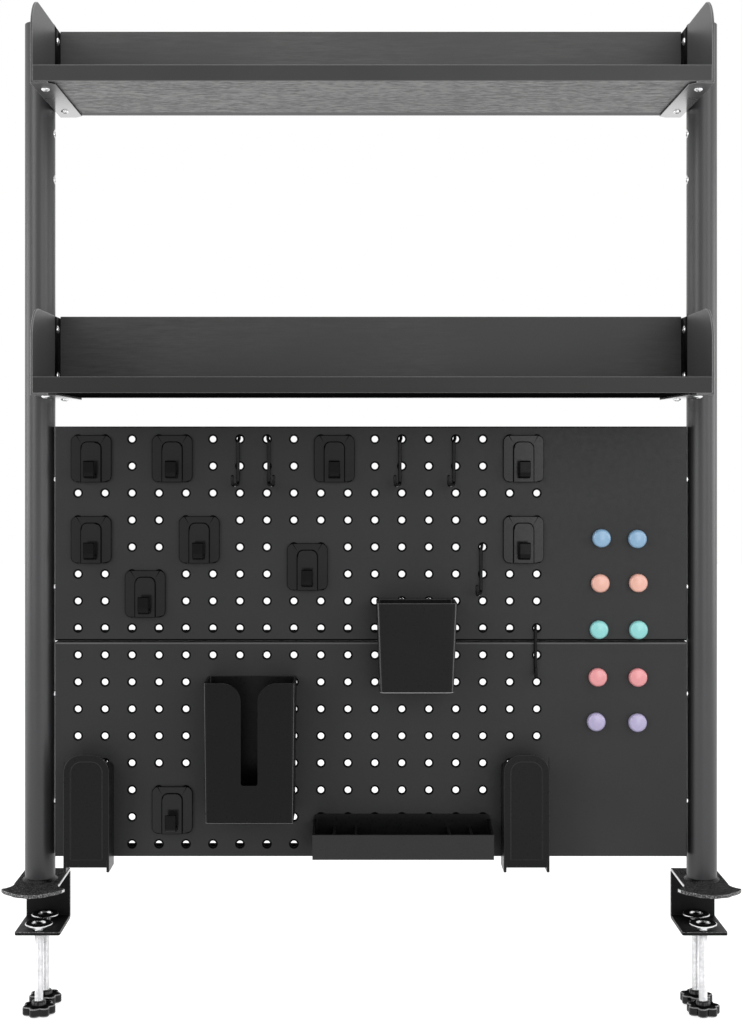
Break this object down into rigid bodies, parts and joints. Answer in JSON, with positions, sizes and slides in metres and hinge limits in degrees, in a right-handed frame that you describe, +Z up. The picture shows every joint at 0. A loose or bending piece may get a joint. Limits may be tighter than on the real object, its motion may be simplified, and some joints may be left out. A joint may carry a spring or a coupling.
{
  "type": "clamp-on desk pegboard organizer",
  "caption": "Desk-clamped pegboard organizer: round steel posts, perforated steel panels, wood-board shelves, hooks, cup, bin, tray, hangers and magnets.",
  "frame": {"origin": "on the desk top, at the underside of the base plates, on the plane of the two post axes and midway between them", "axes": "+X to the right seen from the front, +Y to the rear, +Z up along the posts"},
  "size_m": [0.676, 0.165, 0.9232],
  "materials": {
    "post_steel": "satin black powder coat",
    "clamp_steel": "satin black powder coat",
    "panel_steel": "fine black powder coat",
    "plate_steel": "satin black powder coat",
    "laminate": "black wood-grain laminate, satin",
    "cap_plastic": "satin black",
    "bright_steel": "zinc plated",
    "rod_steel": "zinc plated, threaded",
    "knob_plastic": "satin black",
    "pad_steel": "zinc plated with a black face",
    "holder_plastic": "satin black",
    "hook_plastic": "satin black",
    "wire_steel": "black powder coat",
    "magnet_blue": "glossy",
    "magnet_peach": "glossy",
    "magnet_teal": "glossy",
    "magnet_coral": "glossy",
    "magnet_lavender": "glossy"
  },
  "bodies": {
    "frame": {"left_post": "post_steel", "right_post": "post_steel", "post_caps": "cap_plastic", "left_clamp_bracket": "clamp_steel", "right_clamp_bracket": "clamp_steel", "upper_panel": "panel_steel", "lower_panel": "panel_steel", "top_shelf_board": "laminate", "top_back_board": "laminate", "top_shelf_left_side_plate": "plate_steel", "top_shelf_right_side_plate": "plate_steel", "middle_shelf_board": "laminate", "middle_back_board": "laminate", "middle_shelf_left_side_plate": "plate_steel", "middle_shelf_right_side_plate": "plate_steel", "screws": "bright_steel", "rivet_nuts": "bright_steel"},
    "left_front_clamp_pad": {"left_front_clamp_pad": "pad_steel"},
    "left_front_clamp_screw": {"left_front_clamp_rod": "rod_steel", "left_front_clamp_knob": "knob_plastic"},
    "left_rear_clamp_pad": {"left_rear_clamp_pad": "pad_steel"},
    "left_rear_clamp_screw": {"left_rear_clamp_rod": "rod_steel", "left_rear_clamp_knob": "knob_plastic"},
    "right_front_clamp_pad": {"right_front_clamp_pad": "pad_steel"},
    "right_front_clamp_screw": {"right_front_clamp_rod": "rod_steel", "right_front_clamp_knob": "knob_plastic"},
    "right_rear_clamp_pad": {"right_rear_clamp_pad": "pad_steel"},
    "right_rear_clamp_screw": {"right_rear_clamp_rod": "rod_steel", "right_rear_clamp_knob": "knob_plastic"},
    "wire_hook_1": {"wire_hook_1": "wire_steel"},
    "wire_hook_2": {"wire_hook_2": "wire_steel"},
    "wire_hook_3": {"wire_hook_3": "wire_steel"},
    "wire_hook_4": {"wire_hook_4": "wire_steel"},
    "wire_hook_5": {"wire_hook_5": "wire_steel"},
    "wire_hook_6": {"wire_hook_6": "wire_steel"},
    "plate_hook_01": {"plate_hook_01": "hook_plastic"},
    "plate_hook_02": {"plate_hook_02": "hook_plastic"},
    "plate_hook_03": {"plate_hook_03": "hook_plastic"},
    "plate_hook_04": {"plate_hook_04": "hook_plastic"},
    "plate_hook_05": {"plate_hook_05": "hook_plastic"},
    "plate_hook_06": {"plate_hook_06": "hook_plastic"},
    "plate_hook_07": {"plate_hook_07": "hook_plastic"},
    "plate_hook_08": {"plate_hook_08": "hook_plastic"},
    "plate_hook_09": {"plate_hook_09": "hook_plastic"},
    "plate_hook_10": {"plate_hook_10": "hook_plastic"},
    "pen_cup": {"pen_cup": "holder_plastic"},
    "slotted_bin": {"slotted_bin": "holder_plastic"},
    "pencil_tray": {"pencil_tray": "holder_plastic"},
    "left_headphone_hanger": {"left_headphone_hanger": "holder_plastic"},
    "right_headphone_hanger": {"right_headphone_hanger": "holder_plastic"},
    "magnet_blue_1": {"magnet_blue_1": "magnet_blue"},
    "magnet_blue_2": {"magnet_blue_2": "magnet_blue"},
    "magnet_peach_1": {"magnet_peach_1": "magnet_peach"},
    "magnet_peach_2": {"magnet_peach_2": "magnet_peach"},
    "magnet_teal_1": {"magnet_teal_1": "magnet_teal"},
    "magnet_teal_2": {"magnet_teal_2": "magnet_teal"},
    "magnet_coral_1": {"magnet_coral_1": "magnet_coral"},
    "magnet_coral_2": {"magnet_coral_2": "magnet_coral"},
    "magnet_lavender_1": {"magnet_lavender_1": "magnet_lavender"},
    "magnet_lavender_2": {"magnet_lavender_2": "magnet_lavender"}
  },
  "joints": [
    {"name": "left_front_clamp_slide", "type": "slide", "parent": "frame", "child": "left_front_clamp_pad", "axis": [0, 0, 1], "range_m": [-0.0007, 0.034]},
    {"name": "left_rear_clamp_slide", "type": "slide", "parent": "frame", "child": "left_rear_clamp_pad", "axis": [0, 0, 1], "range_m": [-0.0007, 0.034]},
    {"name": "right_front_clamp_slide", "type": "slide", "parent": "frame", "child": "right_front_clamp_pad", "axis": [0, 0, 1], "range_m": [-0.0007, 0.034]},
    {"name": "right_rear_clamp_slide", "type": "slide", "parent": "frame", "child": "right_rear_clamp_pad", "axis": [0, 0, 1], "range_m": [-0.0007, 0.034]},
    {"name": "wire_hook_1_swing", "type": "hinge", "parent": "frame", "child": "wire_hook_1", "pos_m": [-0.1227, -0.0124, 0.41285], "axis": [-0.9903, 0.1392, 0], "range_deg": [0, 30]},
    {"name": "wire_hook_2_swing", "type": "hinge", "parent": "frame", "child": "wire_hook_2", "pos_m": [-0.0953, -0.0124, 0.41285], "axis": [-0.9744, -0.225, 0], "range_deg": [0, 30]},
    {"name": "wire_hook_3_swing", "type": "hinge", "parent": "frame", "child": "wire_hook_3", "pos_m": [0.0273, -0.0124, 0.41285], "axis": [-0.9781, 0.2079, 0], "range_deg": [0, 30]},
    {"name": "wire_hook_4_swing", "type": "hinge", "parent": "frame", "child": "wire_hook_4", "pos_m": [0.0773, -0.0124, 0.41285], "axis": [-0.9681, 0.2504, 0], "range_deg": [0, 30]},
    {"name": "wire_hook_5_swing", "type": "hinge", "parent": "frame", "child": "wire_hook_5", "pos_m": [0.1023, -0.0124, 0.31285], "axis": [-0.9759, 0.2181, 0], "range_deg": [0, 30]},
    {"name": "wire_hook_6_swing", "type": "hinge", "parent": "frame", "child": "wire_hook_6", "pos_m": [0.1523, -0.0124, 0.23785], "axis": [-0.9966, 0.0819, 0], "range_deg": [0, 30]},
    {"name": "plate_hook_01_lift_off", "type": "slide", "parent": "frame", "child": "plate_hook_01", "axis": [0, -1, 0], "range_m": [0, 0.02]},
    {"name": "plate_hook_02_lift_off", "type": "slide", "parent": "frame", "child": "plate_hook_02", "axis": [0, -1, 0], "range_m": [0, 0.02]},
    {"name": "plate_hook_03_lift_off", "type": "slide", "parent": "frame", "child": "plate_hook_03", "axis": [0, -1, 0], "range_m": [0, 0.02]},
    {"name": "plate_hook_04_lift_off", "type": "slide", "parent": "frame", "child": "plate_hook_04", "axis": [0, -1, 0], "range_m": [0, 0.02]},
    {"name": "plate_hook_05_lift_off", "type": "slide", "parent": "frame", "child": "plate_hook_05", "axis": [0, -1, 0], "range_m": [0, 0.02]},
    {"name": "plate_hook_06_lift_off", "type": "slide", "parent": "frame", "child": "plate_hook_06", "axis": [0, -1, 0], "range_m": [0, 0.02]},
    {"name": "plate_hook_07_lift_off", "type": "slide", "parent": "frame", "child": "plate_hook_07", "axis": [0, -1, 0], "range_m": [0, 0.02]},
    {"name": "plate_hook_08_lift_off", "type": "slide", "parent": "frame", "child": "plate_hook_08", "axis": [0, -1, 0], "range_m": [0, 0.02]},
    {"name": "plate_hook_09_lift_off", "type": "slide", "parent": "frame", "child": "plate_hook_09", "axis": [0, -1, 0], "range_m": [0, 0.02]},
    {"name": "plate_hook_10_lift_off", "type": "slide", "parent": "frame", "child": "plate_hook_10", "axis": [0, -1, 0], "range_m": [0, 0.02]},
    {"name": "pen_cup_lift_off", "type": "slide", "parent": "frame", "child": "pen_cup", "axis": [0, -1, 0], "range_m": [0, 0.02]},
    {"name": "slotted_bin_lift_off", "type": "slide", "parent": "frame", "child": "slotted_bin", "axis": [0, -1, 0], "range_m": [0, 0.02]},
    {"name": "pencil_tray_lift_off", "type": "slide", "parent": "frame", "child": "pencil_tray", "axis": [0, -1, 0], "range_m": [0, 0.02]},
    {"name": "left_headphone_hanger_lift_off", "type": "slide", "parent": "frame", "child": "left_headphone_hanger", "axis": [0, -1, 0], "range_m": [0, 0.02]},
    {"name": "right_headphone_hanger_lift_off", "type": "slide", "parent": "frame", "child": "right_headphone_hanger", "axis": [0, -1, 0], "range_m": [0, 0.02]},
    {"name": "magnet_blue_1_lift_off", "type": "slide", "parent": "frame", "child": "magnet_blue_1", "axis": [0, -1, 0], "range_m": [0, 0.015]},
    {"name": "magnet_blue_2_lift_off", "type": "slide", "parent": "frame", "child": "magnet_blue_2", "axis": [0, -1, 0], "range_m": [0, 0.015]},
    {"name": "magnet_peach_1_lift_off", "type": "slide", "parent": "frame", "child": "magnet_peach_1", "axis": [0, -1, 0], "range_m": [0, 0.015]},
    {"name": "magnet_peach_2_lift_off", "type": "slide", "parent": "frame", "child": "magnet_peach_2", "axis": [0, -1, 0], "range_m": [0, 0.015]},
    {"name": "magnet_teal_1_lift_off", "type": "slide", "parent": "frame", "child": "magnet_teal_1", "axis": [0, -1, 0], "range_m": [0, 0.015]},
    {"name": "magnet_teal_2_lift_off", "type": "slide", "parent": "frame", "child": "magnet_teal_2", "axis": [0, -1, 0], "range_m": [0, 0.015]},
    {"name": "magnet_coral_1_lift_off", "type": "slide", "parent": "frame", "child": "magnet_coral_1", "axis": [0, -1, 0], "range_m": [0, 0.015]},
    {"name": "magnet_coral_2_lift_off", "type": "slide", "parent": "frame", "child": "magnet_coral_2", "axis": [0, -1, 0], "range_m": [0, 0.015]},
    {"name": "magnet_lavender_1_lift_off", "type": "slide", "parent": "frame", "child": "magnet_lavender_1", "axis": [0, -1, 0], "range_m": [0, 0.015]},
    {"name": "magnet_lavender_2_lift_off", "type": "slide", "parent": "frame", "child": "magnet_lavender_2", "axis": [0, -1, 0], "range_m": [0, 0.015]},
    {"name": "left_front_clamp_turn", "type": "hinge", "parent": "left_front_clamp_pad", "child": "left_front_clamp_screw", "pos_m": [-0.309, -0.0065, -0.08], "axis": [0, 0, 1], "range_deg": [-202, 9792]},
    {"name": "left_rear_clamp_turn", "type": "hinge", "parent": "left_rear_clamp_pad", "child": "left_rear_clamp_screw", "pos_m": [-0.309, 0.0253, -0.08], "axis": [0, 0, 1], "range_deg": [-202, 9792]},
    {"name": "right_front_clamp_turn", "type": "hinge", "parent": "right_front_clamp_pad", "child": "right_front_clamp_screw", "pos_m": [0.309, -0.0065, -0.08], "axis": [0, 0, 1], "range_deg": [-202, 9792]},
    {"name": "right_rear_clamp_turn", "type": "hinge", "parent": "right_rear_clamp_pad", "child": "right_rear_clamp_screw", "pos_m": [0.309, 0.0253, -0.08], "axis": [0, 0, 1], "range_deg": [-202, 9792]}
  ],
  "couplings": [
    {"joint": "left_front_clamp_turn", "follows": "left_front_clamp_slide", "rad_per_m": 5026.5},
    {"joint": "left_rear_clamp_turn", "follows": "left_rear_clamp_slide", "rad_per_m": 5026.5},
    {"joint": "right_front_clamp_turn", "follows": "right_front_clamp_slide", "rad_per_m": 5026.5},
    {"joint": "right_rear_clamp_turn", "follows": "right_rear_clamp_slide", "rad_per_m": 5026.5}
  ]
}
